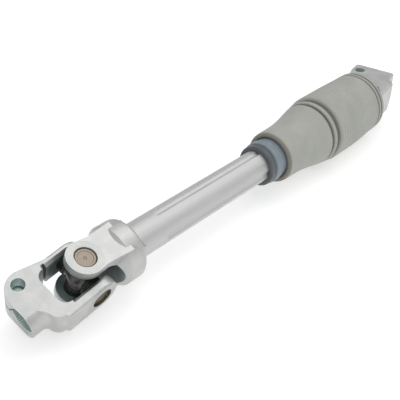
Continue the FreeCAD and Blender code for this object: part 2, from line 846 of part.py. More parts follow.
def boot(label):
    """The rubber boot: a neck that grips the outer tube and a barrel that hides the upper joint."""
    body = new_body(label)
    wall = s.boot_wall
    depth = s.boot_groove_depth

    def groove(place, width, radius):
        return [
            (place, radius),
            (place + s.boot_groove_slope, radius - depth),
            (place + width - s.boot_groove_slope, radius - depth),
            (place + width, radius),
        ]

    grip = OUTER_TUBE_RADIUS + s.boot_fit
    neck = grip + s.boot_neck_wall
    barrel = s.boot_barrel_radius
    shoulder = barrel - s.boot_shoulder_drop
    end = barrel - s.boot_end_drop
    second = s.boot_groove_place + s.boot_groove_pitch
    section = [
        (s.boot_start, grip + s.boot_mouth_gap),
        (s.boot_start + s.boot_edge, grip + s.boot_lip_wall),
        (s.boot_lip_end, neck - s.boot_neck_swell),
        (s.boot_neck_end, neck),
        (s.boot_grip_end, grip + s.boot_flare_wall),
    ]
    section += groove(s.boot_groove_place, s.boot_groove_width, shoulder)
    section += groove(second, s.boot_groove_width, barrel - s.boot_bead_drop)
    section += [
        (second + s.boot_groove_width + s.boot_rise, barrel - s.boot_crown),
        (s.boot_barrel_start, barrel),
        (s.boot_barrel_end, barrel),
    ]
    section += groove(s.boot_end_groove_place, s.boot_end_groove_width, end)
    section += groove(s.boot_end_groove_place + s.boot_end_groove_pitch, s.boot_end_groove_width, end)
    section += [
        (s.boot_end - s.boot_edge, end),
        (s.boot_end, end - s.boot_edge),
        (s.boot_end, end - wall),
        (s.boot_barrel_end, barrel - wall),
        (s.boot_barrel_start, barrel - wall),
        (s.boot_groove_place, shoulder - depth - wall),
        (s.boot_grip_end, grip),
        (s.outer_tube_start, grip),
    ]
    sketch = sketch_on(body, "XZ_Plane", label + "_section")
    outline(sketch, section)
    revolve(body, sketch, "X_Axis", label + "_turn")
    return body


# The assembly

keep(
    clamp_yoke("lower_clamp_yoke", s.lower_reach, s.lower_hub_length, s.lower_near_face, s.lower_half_height,
               s.lower_barrel_radius, s.lower_barrel_length, "half", s.lower_lug_face, s.lower_lug_corner,
               s.lower_bolt_offset, tapped_on_top=False),
    LOWER_CLAMP,
)
keep(
    clamp_yoke("upper_clamp_yoke", s.upper_reach, s.upper_hub_length, s.upper_near_face, s.upper_half_height,
               s.upper_barrel_radius, s.upper_barrel_length, "quarter", s.upper_lug_face, s.upper_lug_corner,
               s.upper_bolt_offset, tapped_on_top=True),
    UPPER_BENT.multiply(HALF_TURN),
)
keep(
    tube_yoke("shaft_yoke", s.inner_tube_radius, s.inner_tube_radius - s.inner_tube_wall - s.spigot_fit, s.yoke_tail),
    LOWER_JOINT,
)
keep(
    tube_yoke("outer_tube_yoke", OUTER_TUBE_RADIUS, OUTER_TUBE_INSIDE - s.spigot_fit, s.yoke_tail),
    UPPER_JOINT.multiply(turned(AXIS_Z, 180.0)),
)
keep(inner_shaft("inner_shaft"), SHAFT)
keep(slide_bush("slide_bush"), SHAFT)
keep(dust_ring("dust_ring"), SHAFT)
keep(outer_tube("outer_tube"), SHAFT)
keep(boot("boot"), SHAFT)

for joint, tube_side, middle, clamp_side in (
    ("lower", LOWER_JOINT, LOWER_CROSS, LOWER_CLAMP),
    ("upper", UPPER_JOINT, UPPER_BENT, UPPER_BENT),
):
    keep(cross(joint + "_cross"), middle)
    for arm, turn in ARMS.items():
        frame = tube_side if arm in ("top", "bottom") else clamp_side
        for builder, noun in ((bearing_cup, "cup"), (bearing_seal, "seal"), (needle_rollers, "needles")):
            keep(builder("%s_%s_%s" % (joint, arm, noun)), frame.multiply(turn))

doc.recompute()


def check_and_write():
    """Stops if anything failed to build, then writes one file for each node."""
    for item in doc.Objects:
        if "Invalid" in item.State or "Error" in item.State:
            raise RuntimeError("%s did not build" % item.Label)
    for node in PARTS:
        if node.Shape.isNull() or not node.Shape.isValid():
            raise RuntimeError("%s has no valid shape" % node.Label)
    os.makedirs("parts", exist_ok=True)
    for node in PARTS:
        node.Shape.exportStep("parts/%s.step" % node.Label)
        print("%-22s solids %2d volume %9.1f" % (node.Label, len(node.Shape.Solids), node.Shape.Volume))


check_and_write()
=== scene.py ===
import json
import logging
import math
from dataclasses import dataclass, field
from enum import Enum

import bpy
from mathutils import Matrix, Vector


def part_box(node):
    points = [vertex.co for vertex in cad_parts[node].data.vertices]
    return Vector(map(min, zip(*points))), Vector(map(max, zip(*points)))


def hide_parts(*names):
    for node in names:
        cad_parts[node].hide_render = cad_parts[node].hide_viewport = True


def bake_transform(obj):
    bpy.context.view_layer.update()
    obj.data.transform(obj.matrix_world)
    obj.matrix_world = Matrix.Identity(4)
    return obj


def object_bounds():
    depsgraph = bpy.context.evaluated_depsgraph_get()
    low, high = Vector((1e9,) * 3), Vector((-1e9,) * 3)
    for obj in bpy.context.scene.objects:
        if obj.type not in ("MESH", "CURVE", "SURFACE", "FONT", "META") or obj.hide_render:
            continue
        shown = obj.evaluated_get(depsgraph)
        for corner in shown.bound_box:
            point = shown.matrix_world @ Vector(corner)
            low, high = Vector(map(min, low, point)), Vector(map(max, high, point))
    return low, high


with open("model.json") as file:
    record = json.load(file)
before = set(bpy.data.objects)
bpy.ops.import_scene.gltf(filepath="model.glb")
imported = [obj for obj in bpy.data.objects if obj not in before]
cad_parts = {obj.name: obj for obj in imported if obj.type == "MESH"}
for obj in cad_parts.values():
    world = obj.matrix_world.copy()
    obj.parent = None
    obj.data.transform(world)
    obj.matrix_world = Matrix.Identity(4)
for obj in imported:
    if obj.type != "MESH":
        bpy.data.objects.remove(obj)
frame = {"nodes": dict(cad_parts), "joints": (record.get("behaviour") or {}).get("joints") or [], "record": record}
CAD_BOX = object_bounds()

log = logging.getLogger("shaft")

MM = 0.001
FULL_TURN = 2 * math.pi
OPEN_SAMPLES = 8
ALONG = Vector((1.0, 0.0, 0.0))

Colour = tuple[float, float, float]
Section = tuple[tuple[float, float], ...]


# Shader maths


class Val:
    """A shader socket that takes part in sums, so that patterns read as formulas."""

    def __init__(self, shade: "Shade", socket: bpy.types.NodeSocket) -> None:
        """Keeps the socket and the shade it belongs to."""
        self.shade = shade
        self.socket = socket

    def _math(self, operation: str, *others: "Val | float") -> "Val":
        """Adds one Math node.

        Args:
            operation: the node's operation.
            others: what follows this value in the node's sockets.

        Returns:
            The node's result.
        """
        values = {index: other for index, other in enumerate((self, *others))}
        return self.shade.node("ShaderNodeMath", {"operation": operation}, values)

    def __add__(self, other: "Val | float") -> "Val":
        """Sum."""
        return self._math("ADD", other)

    def __radd__(self, other: float) -> "Val":
        """Sum with a number on the left."""
        return self._math("ADD", other)

    def __sub__(self, other: "Val | float") -> "Val":
        """Difference."""
        return self._math("SUBTRACT", other)

    def __rsub__(self, other: float) -> "Val":
        """Difference from a number on the left."""
        return (self * -1.0) + other

    def __mul__(self, other: "Val | float") -> "Val":
        """Product."""
        return self._math("MULTIPLY", other)

    def __rmul__(self, other: float) -> "Val":
        """Product with a number on the left."""
        return self._math("MULTIPLY", other)

    def sine(self) -> "Val":
        """Sine."""
        return self._math("SINE")

    def size(self) -> "Val":
        """Absolute value."""
        return self._math("ABSOLUTE")

    def largest(self, other: "Val | float") -> "Val":
        """The larger of the two."""
        return self._math("MAXIMUM", other)

    def step(self, low: float, high: float, start: float = 0.0, end: float = 1.0) -> "Val":
        """Runs smoothly from start to end while this value goes from low to high.

        Args:
            low: where the run starts.
            high: where it ends.
            start: result at and before low.
            end: result at and after high.

        Returns:
            The mapped value.
        """
        return self.shade.node(
            "ShaderNodeMapRange",
            {"interpolation_type": "SMOOTHSTEP"},
            {"Value": self, "From Min": low, "From Max": high, "To Min": start, "To Max": end},
        )

    def below(self, low: float, high: float) -> "Val":
        """1 up to low, running down to 0 at high."""
        return self.step(low, high, 1.0, 0.0)

    def waves(self, pitch: float) -> "Val":
        """A wave between 0 and 1 that repeats after each pitch."""
        return (self * (FULL_TURN / pitch)).sine() * 0.5 + 0.5


class Shade:
    """A new material and the nodes that make it."""

    def __init__(self, name: str) -> None:
        """Starts a material with one Principled shader.

        Args:
            name: the material's name.
        """
        self.material = bpy.data.materials.new(name)
        self.material.use_nodes = True
        self.tree = self.material.node_tree
        self.tree.nodes.clear()
        self.shader = self.tree.nodes.new("ShaderNodeBsdfPrincipled")
        out = self.tree.nodes.new("ShaderNodeOutputMaterial")
        self.tree.links.new(self.shader.outputs["BSDF"], out.inputs["Surface"])
        self.object = self.node("ShaderNodeTexCoord", {}, {}, "Object")

    def node(
        self,
        kind: str,
        settings: dict[str, object],
        values: dict[str | int, object],
        output: str | int = 0,
    ) -> Val:
        """Adds a node.

        Args:
            kind: the node's type.
            settings: what is set on the node before its sockets.
            values: numbers, colours or links for its sockets.
            output: the socket that is given back.

        Returns:
            That output.
        """
        node = self.tree.nodes.new(kind)
        for name, value in settings.items():
            setattr(node, name, value)
        for name, value in values.items():
            self._feed(node.inputs[name], value)
        return Val(self, node.outputs[output])

    def _feed(self, socket: bpy.types.NodeSocket, value: object) -> None:
        """Links or sets one input socket.

        Args:
            socket: the socket.
            value: a link, a colour or a number.
        """
        if isinstance(value, Val):
            self.tree.links.new(value.socket, socket)
        elif isinstance(value, tuple) and socket.type == "RGBA":
            socket.default_value = (*value, 1.0)
        else:
            socket.default_value = value

    def set(self, **values: object) -> None:
        """Sets or links sockets of the shader, with underscores for the spaces in their names."""
        for name, value in values.items():
            self._feed(self.shader.inputs[name.replace("_", " ")], value)

    def mix(self, factor: "Val | float", first: "Colour | Val", second: "Colour | Val") -> Val:
        """Mixes two colours.

        Args:
            factor: 0 for the first, 1 for the second.
            first: one colour.
            second: the other.

        Returns:
            The colour between them.
        """
        return self.node("ShaderNodeMix", {"data_type": "RGBA"}, {0: factor, 6: first, 7: second}, 2)

    def stretched(self, scale: Colour) -> Val:
        """Object coordinates, scaled along each axis."""
        return self.node("ShaderNodeMapping", {}, {"Vector": self.object, "Scale": scale})

    def noise(
        self, scale: float, detail: float = 3.0, rough: float = 0.5, at: Val | None = None
    ) -> Val:
        """Soft noise in object space.

        Args:
            scale: how many blobs to a metre.
            detail: how many finer layers it has.
            rough: how strong those are.
            at: coordinates, where they aren't the object's own.

        Returns:
            A value round one half.
        """
        return self.node(
            "ShaderNodeTexNoise",
            {},
            {"Vector": at or self.object, "Scale": scale, "Detail": detail, "Roughness": rough},
        )

    def hollow(self, reach: float) -> Val:
        """How shut in a place is by its own piece: 0 in the open, 1 deep in a hollow.

        Args:
            reach: how far off walls count, in metres.

        Returns:
            The share.
        """
        settings = {"samples": OPEN_SAMPLES, "only_local": True}
        return 1.0 - self.node("ShaderNodeAmbientOcclusion", settings, {"Distance": reach}, "AO")

    def vector(self, operation: str, first: object, second: object, output: str = "Vector") -> Val:
        """One Vector Math node."""
        values = {0: first, 1: second}
        return self.node("ShaderNodeVectorMath", {"operation": operation}, values, output)

    def about(self, bore: "Bore") -> tuple[Val, Val]:
        """Measures places from a bore.

        Args:
            bore: the bore.

        Returns:
            Distance from its axis and height along it to either side, in metres.
        """
        place = self.vector("SUBTRACT", self.object, tuple(bore.centre))
        around = self.vector("CROSS_PRODUCT", place, tuple(bore.axis))
        radius = self.node("ShaderNodeVectorMath", {"operation": "LENGTH"}, {0: around}, "Value")
        return radius, self.vector("DOT_PRODUCT", place, tuple(bore.axis), "Value").size()

    def bump(self, *layers: tuple[Val, float]) -> None:
        """Feeds the shader's normal.

        Args:
            layers: pairs of a height from 0 to 1 and the metres that it stands for.
        """
        last = None
        for height, distance in layers:
            values = {"Height": height, "Distance": distance, "Strength": 1.0}
            if last is not None:
                values["Normal"] = last
            last = self.node("ShaderNodeBump", {}, values)
        self.set(Normal=last)


# Finishes


@dataclass(frozen=True)
class Bore:
    """The line through the middle of a bore."""

    centre: Vector
    axis: Vector


@dataclass(frozen=True)
class ZincForging:
    """Forged steel, blasted and zinc plated, turned round its bores, with painted shade in its hollows."""

    bright: Colour = (0.56, 0.56, 0.545)
    dull: Colour = (0.45, 0.46, 0.455)
    # Painted blue-green shade for hollows, under the ears, and for thread and serration lines
    teal_shade: Colour = (0.27, 0.35, 0.35)
    # Painted near-black shade for the deepest hollows and for the painted dark bore
    deep: Colour = (0.02, 0.035, 0.04)
    stake: Colour = (0.15, 0.125, 0.085)
    # Painted shade for the hollow between the arms
    throat: Colour = (0.20, 0.27, 0.29)
    cut: Colour = (0.80, 0.90, 0.88)
    groove: Colour = (0.30, 0.31, 0.305)
    metallic: float = 0.85
    roughness: float = 0.45
    bolt_radius: float = 4.75 * MM
    thread_pitch: float = 1.3 * MM
    clamp_radius: float = 9.2 * MM
    serrations: int = 36
    hole_edge: float = 0.1 * MM
    bore_radius: float = 6.2 * MM
    bore_edge: float = 0.6 * MM
    throat_radius: float = 13.75 * MM
    reach: float = 14.0 * MM
    ring_inner: float = 7.7 * MM
    ring_outer: float = 11.8 * MM
    ring_pitch: float = 0.75 * MM
    face_height: float = 19.0 * MM
    ear_inside: float = 13.2 * MM
    ear_rim: float = 17.2 * MM
    ear_radius: float = 12.8 * MM
    ear_edge: float = 1.5 * MM
    grain_depth: float = 0.045 * MM
    dent_depth: float = 0.07 * MM
    ring_depth: float = 0.04 * MM

    def _lines(self, shade: Shade, held: list[Bore]) -> tuple[Val, Val]:
        """Finds the cut holes of a clamp and the lines in them.

        Args:
            shade: the material.
            held: the bolt's hole and the shaft's bore.

        Returns:
            Where the holes are, and the threads and serrations.
        """
        bolt, clamp = held
        radius, height = shade.about(bolt)
        inside = radius.below(self.bolt_radius - self.hole_edge, self.bolt_radius)
        threads = height.waves(self.thread_pitch)
        radius, _ = shade.about(clamp)
        mouth = radius.below(self.clamp_radius - self.hole_edge, self.clamp_radius)
        first = clamp.axis.orthogonal().normalized()
        second = clamp.axis.cross(first).normalized()
        place = shade.vector("SUBTRACT", shade.object, tuple(clamp.centre))
        across = [shade.vector("DOT_PRODUCT", place, tuple(way), "Value") for way in (first, second)]
        angle = shade.node("ShaderNodeMath", {"operation": "ARCTAN2"}, dict(enumerate(across)))
        teeth = angle.waves(FULL_TURN / self.serrations)
        return inside.largest(mouth), (inside * threads).largest(mouth * teeth)

    def _painted_throat_shade(self, shade: Shade, skin: Val, bore: Bore, throat: Bore) -> Val:
        """Paints shade into the hollow between the arms, and a painted dark bore at its bottom.

        Args:
            shade: the material.
            skin: the colour so far.
            bore: the yoke's bearing bore.
            throat: the line that the hollow is round about.

        Returns:
            The colour with the painted shade and the painted bore in it.
        """
        depth, _ = shade.about(throat)
        within = depth.below(self.throat_radius - 0.6 * MM, self.throat_radius + 0.2 * MM)
        line, _ = shade.about(Bore(bore.centre, ALONG))
        middle = line.below(self.bore_radius - self.bore_edge, self.bore_radius + self.bore_edge)
        return shade.mix(within * middle, shade.mix(within, skin, self.throat), self.deep)

    def material(
        self, name: str, bore: Bore, throat: Bore | None, held: list[Bore]
    ) -> bpy.types.Material:
        """Builds the finish for one yoke.

        Args:
            name: the material's name.
            bore: the yoke's bearing bore.
            throat: the line that the hollow between the arms is round about, if it has one.
            held: a clamp's bolt hole and shaft bore, else nothing.

        Returns:
            The material.
        """
        shade = Shade(name)
        radius, height = shade.about(bore)
        face = height.step(self.face_height - 0.2 * MM, self.face_height)
        turned = (
            radius.below(self.ring_outer, self.ring_outer + 0.3 * MM)
            * radius.step(self.ring_inner, self.ring_inner + 0.1 * MM)
            * face
        )
        rings = radius.waves(self.ring_pitch)
        staked = radius.below(self.ring_inner - 0.3 * MM, self.ring_inner - 0.1 * MM) * face
        patches = shade.noise(90.0, 4.0, 0.6)
        grain = shade.noise(2200.0, 2.0, 0.6)
        dents = shade.noise(420.0, 3.0, 0.55)
        # How shut in each place is, which drives the painted shade in hollows
        shut = shade.hollow(self.reach) + (patches - 0.5) * 0.2
        # Painted shade on the ears' sides next to the cross
        under = height.below(self.ear_inside, self.ear_rim) * radius.below(
            self.ear_radius, self.ear_radius + self.ear_edge
        )
        tone = patches.step(0.35, 0.65) * 0.7 + grain.step(0.3, 0.7) * 0.3
        skin = shade.mix(tone, self.dull, self.bright)
        skin = shade.mix(turned * rings * 0.6, skin, self.groove)
        # Painted blue-green shade in hollows and under the ears
        skin = shade.mix(shut.step(0.34, 0.66).largest(under * 0.85), skin, self.teal_shade)
        # Painted shade between the arms and a painted dark bore
        if throat:
            skin = self._painted_throat_shade(shade, skin, bore, throat)
        # Painted black shade in the deepest hollows
        skin = shade.mix(shut.step(0.86, 1.08), skin, self.deep)
        if held:
            holes, lines = self._lines(shade, held)
            # Threads and serrations are drawn in the cut holes as lines of painted shade
            skin = shade.mix(holes, skin, shade.mix(lines * 0.6, self.cut, self.teal_shade))
        rough = self.roughness + (patches - 0.5) * 0.16 + (grain - 0.5) * 0.14
        shade.set(
            Base_Color=shade.mix(staked * patches.step(0.38, 0.5), skin, self.stake),
            Metallic=self.metallic,
            Roughness=rough - turned * 0.08,
        )
        shade.bump(
            (grain * (1.0 - turned), self.grain_depth),
            (dents * (1.0 - turned), self.dent_depth),
            (rings * turned, self.ring_depth),
        )
        return shade.material


@dataclass(frozen=True)
class DrawnSteel:
    """Drawn and zinc-plated tube, with fine streaks along its length."""

    bright: Colour
    dull: Colour
    roughness: float
    metallic: float = 0.8
    fine_stretch: Colour = (14.0, 900.0, 900.0)
    wide_stretch: Colour = (9.0, 120.0, 120.0)
    grain_depth: float = 0.03 * MM
    streak_depth: float = 0.012 * MM
    wide_depth: float = 0.05 * MM

    def material(self, name: str) -> bpy.types.Material:
        """Builds the finish.

        Args:
            name: the material's name.

        Returns:
            The material.
        """
        shade = Shade(name)
        streaks = shade.noise(1.0, 4.0, 0.6, shade.stretched(self.fine_stretch))
        wide = shade.noise(1.0, 3.0, 0.5, shade.stretched(self.wide_stretch))
        clouds = shade.noise(60.0, 3.0)
        grain = shade.noise(1300.0, 2.0, 0.6)
        tone = streaks.step(0.3, 0.7) * 0.35 + clouds * 0.35 + grain.step(0.3, 0.7) * 0.3
        rough = (streaks - 0.5) * 0.18 + (clouds - 0.5) * 0.1 + (grain - 0.5) * 0.16
        shade.set(
            Base_Color=shade.mix(tone, self.dull, self.bright),
            Metallic=self.metallic,
            Roughness=rough + self.roughness,
        )
        shade.bump((grain, self.grain_depth), (streaks, self.streak_depth), (wide, self.wide_depth))
        return shade.material


@dataclass(frozen=True)
class HardenedSteel:
    """Heat-tinted bearing steel, turned in circles about each bearing's own axis."""

    bright: Colour
    dull: Colour
    roughness: float
    inner: Colour = (0.035, 0.033, 0.03)
    metallic: float = 0.85
    ring_pitch: float = 1.35 * MM
    fine_scale: float = 6000.0
    ring_depth: float = 0.02 * MM
    fine_depth: float = 0.01 * MM

    def material(self, name: str, bore: Bore, inside: float = 0.0) -> bpy.types.Material:
        """Builds the finish.

        Args:
            name: the material's name.
            bore: the bearing's axis.
            inside: height up to which the piece is near black, in metres.

        Returns:
            The material.
        """
        shade = Shade(name)
        radius, height = shade.about(bore)
        rings = radius.waves(self.ring_pitch)
        across = shade.node("ShaderNodeCombineXYZ", {}, {"X": radius * self.fine_scale})
        fine = shade.noise(1.0, 2.0, 0.5, across)
        clouds = shade.noise(260.0, 3.0)
        skin = shade.mix(clouds * 0.6 + rings * 0.25, self.dull, self.bright)
        shade.set(
            Base_Color=shade.mix(height.below(inside - 0.2 * MM, inside + 0.2 * MM), skin, self.inner),
            Metallic=self.metallic,
            Roughness=self.roughness + (clouds - 0.5) * 0.16 + (fine - 0.5) * 0.08,
        )
        shade.bump((rings, self.ring_depth), (fine, self.fine_depth))
        return shade.material


@dataclass(frozen=True)
class Moulded:
    """Moulded plastic or rubber with a fine grain."""

    light: Colour
    dark: Colour
    roughness: float
    grain: float = 1800.0
    depth: float = 0.02 * MM
    cloud_depth: float = 0.1 * MM

    def material(self, name: str) -> bpy.types.Material:
        """Builds the finish.

        Args:
            name: the material's name.

        Returns:
            The material.
        """
        shade = Shade(name)
        clouds = shade.noise(55.0, 4.0, 0.6)
        grain = shade.noise(self.grain, 2.0, 0.6)
        shade.set(
            Base_Color=shade.mix(clouds.step(0.3, 0.7), self.dark, self.light),
            Roughness=self.roughness + (clouds - 0.5) * 0.12 + (grain - 0.5) * 0.1,
        )
        shade.bump((grain, self.depth), (clouds, self.cloud_depth))
        return shade.material


@dataclass(frozen=True)
class Rubber:
    """Pale grey-green rubber, with painted shade in its grooves and at its mouth."""

    light: Colour = (0.365, 0.37, 0.342)
    dark: Colour = (0.322, 0.327, 0.302)
    # Painted shade for the grooves and hollows
    groove: Colour = (0.16, 0.165, 0.15)
    # Painted shade for the mouth's lip
    mouth: Colour = (0.20, 0.195, 0.165)
    roughness: float = 0.56
    specular: float = 0.4
    reach: float = 3.0 * MM
    edge: float = 0.7 * MM
    grain_depth: float = 0.02 * MM
    fine_depth: float = 0.03 * MM
    cloud_depth: float = 0.12 * MM

    def material(
        self, name: str, bands: list[tuple[float, float]], mouth: float
    ) -> bpy.types.Material:
        """Builds the finish.

        Args:
            name: the material's name.
            bands: where each groove starts and ends along the shaft.
            mouth: where the mouth's lip ends.

        Returns:
            The material.
        """
        shade = Shade(name)
        along = shade.node("ShaderNodeSeparateXYZ", {}, {"Vector": shade.object}, "X")
        # Painted shade in hollows and along each groove
        groove = shade.hollow(self.reach).step(0.2, 0.7)
        for start, end in bands:
            middle, half = (start + end) / 2.0, (end - start) / 2.0
            off = (along - middle).size()
            groove = groove.largest(off.below(half - self.edge / 2.0, half + self.edge))
        clouds = shade.noise(45.0, 4.0, 0.6)
        grain = shade.noise(1500.0, 2.0, 0.6)
        fine = shade.noise(1.0, 2.0, 0.6, shade.stretched((1500.0, 60.0, 60.0)))
        skin = shade.mix(clouds.step(0.3, 0.7), self.dark, self.light)
        # Painted shade at the mouth's lip
        skin = shade.mix(along.below(mouth - self.edge, mouth + self.edge), skin, self.mouth)
        shade.set(
            Base_Color=shade.mix(groove, skin, self.groove),
            Roughness=self.roughness + (clouds - 0.5) * 0.14 + (grain - 0.5) * 0.1,
            Specular_IOR_Level=self.specular,
        )
        shade.bump((grain, self.grain_depth), (fine, self.fine_depth), (clouds, self.cloud_depth))
        return shade.material


# Helpers for meshes


def dress(node: str, material: bpy.types.Material) -> None:
    """Gives a construction node its finish.

    Args:
        node: the node's name.
        material: the finish.
    """
    piece = frame["nodes"][node]
    piece.data.materials.clear()
    piece.data.materials.append(material)
    log.info("dressed %s", node)


def eased(place: float, start: float, end: float) -> float:
    """Share of the way from start to end, with a soft beginning and end."""
    share = min(max((place - start) / (end - start), 0.0), 1.0)
    return share * share * (3.0 - 2.0 * share)


def deselect() -> None:
    """Leaves nothing selected."""
    for item in bpy.context.selected_objects:
        item.select_set(False)
    bpy.context.view_layer.objects.active = None


def lathe(
    name: str, section: list[tuple[float, float]], turns: int, centre: Vector
) -> bpy.types.Object:
    """Spins a closed section about the shaft's line.

    Args:
        name: the new piece's name.
        section: pairs of place along the line and radius, in metres.
        turns: steps of the spin.
        centre: a point on the line, from which the places count.

    Returns:
        The piece.
    """
    deselect()
    mesh = bpy.data.meshes.new(name)
    piece = bpy.data.objects.new(name, mesh)
    bpy.context.scene.collection.objects.link(piece)
    points = [(centre.x + along, centre.y, centre.z + radius) for along, radius in section]
    edges = [(index, (index + 1) % len(points)) for index in range(len(points))]
    mesh.from_pydata(points, edges, [])
    piece.select_set(True)
    bpy.context.view_layer.objects.active = piece
    bpy.ops.object.mode_set(mode="EDIT")
    bpy.ops.mesh.select_all(action="SELECT")
    bpy.ops.mesh.spin(steps=turns, angle=FULL_TURN, center=tuple(centre), axis=tuple(ALONG))
    bpy.ops.mesh.select_all(action="SELECT")
    bpy.ops.mesh.remove_doubles(threshold=0.001 * MM)
    bpy.ops.mesh.normals_make_consistent(inside=False)
    bpy.ops.object.mode_set(mode="OBJECT")
    return piece


# The shaft


@dataclass
class Joint:
    """Where a universal joint is, and the directions of its two bearing bores."""

    name: str
    centre: Vector
    tube_axis: Vector
    clamp_axis: Vector


@dataclass
class Yokes:
    """The four forged yokes, turned round their bores; the clamps have threads and serrations."""

    joints: dict[str, Joint]
    zinc: ZincForging = ZincForging()
    throat_place: float = 9.0 * MM

    def _throat(self, joint: Joint) -> Bore:
        """The line that the hollow between a tube yoke's arms is round about.

        Args:
            joint: the joint that the yoke carries.

        Returns:
            The line.
        """
        inward = self.throat_place if joint.name == "lower" else -self.throat_place
        return Bore(joint.centre + ALONG * inward, joint.tube_axis.cross(ALONG).normalized())

    def build(self) -> None:
        """Dresses the yokes of both joints."""
        mounts = {mount["name"]: mount for mount in frame["record"]["mounts"]}
        for joint in self.joints.values():
            held = [
                Bore(Vector(mounts[name]["pos_m"]), Vector(mounts[name]["axis"]))
                for name in (joint.name + "_bolt_clearance", joint.name + "_clamp_bore")
            ]
            node = joint.name + "_clamp_yoke"
            bore = Bore(joint.centre, joint.clamp_axis)
            dress(node, self.zinc.material(node, bore, None, held))
            node = "shaft_yoke" if joint.name == "lower" else "outer_tube_yoke"
            bore = Bore(joint.centre, joint.tube_axis)
            dress(node, self.zinc.material(node, bore, self._throat(joint), []))


@dataclass
class Bearings:
    """The cups, seals, needle rollers and crosses of both joints."""

    joints: dict[str, Joint]
    ear_inside: float = 14.2 * MM
    cup: HardenedSteel = HardenedSteel((0.34, 0.295, 0.25), (0.22, 0.185, 0.15), 0.42)
    spider: HardenedSteel = HardenedSteel((0.20, 0.18, 0.17), (0.10, 0.09, 0.09), 0.36)
    needle: HardenedSteel = HardenedSteel((0.70, 0.70, 0.70), (0.55, 0.55, 0.56), 0.2)
    seal: Moulded = Moulded((0.035, 0.035, 0.036), (0.018, 0.018, 0.019), 0.55)

    def build(self) -> None:
        """Dresses every bearing piece about its own axis."""
        seal = self.seal.material("seal_rubber")
        for joint in self.joints.values():
            spider = self.spider.material(joint.name + "_cross", Bore(joint.centre, joint.tube_axis))
            dress(joint.name + "_cross", spider)
            pairs = (("top", "bottom"), joint.tube_axis), (("near", "far"), joint.clamp_axis)
            for arms, axis in pairs:
                bore = Bore(joint.centre, axis)
                label = "%s_%s" % (joint.name, arms[0])
                cup = self.cup.material(label + "_cup", bore, self.ear_inside)
                needle = self.needle.material(label + "_needles", bore)
                for arm in arms:
                    piece = "%s_%s" % (joint.name, arm)
                    dress(piece + "_cup", cup)
                    dress(piece + "_needles", needle)
                    dress(piece + "_seal", seal)


@dataclass
class Telescope:
    """The two tubes and the plastic rings between them."""

    shaft: DrawnSteel = DrawnSteel((0.62, 0.625, 0.615), (0.48, 0.487, 0.483), 0.56)
    tube: DrawnSteel = DrawnSteel((0.42, 0.45, 0.48), (0.33, 0.36, 0.39), 0.4)
    bush: Moulded = Moulded((0.22, 0.26, 0.30), (0.16, 0.20, 0.225), 0.4, depth=0.01 * MM)
    ring: Moulded = Moulded((0.095, 0.102, 0.11), (0.055, 0.062, 0.068), 0.42, depth=0.01 * MM)

    def build(self) -> None:
        """Dresses tubes and rings."""
        dress("inner_shaft", self.shaft.material("drawn_shaft"))
        dress("outer_tube", self.tube.material("drawn_tube"))
        dress("slide_bush", self.bush.material("bush_plastic"))
        dress("dust_ring", self.ring.material("ring_plastic"))


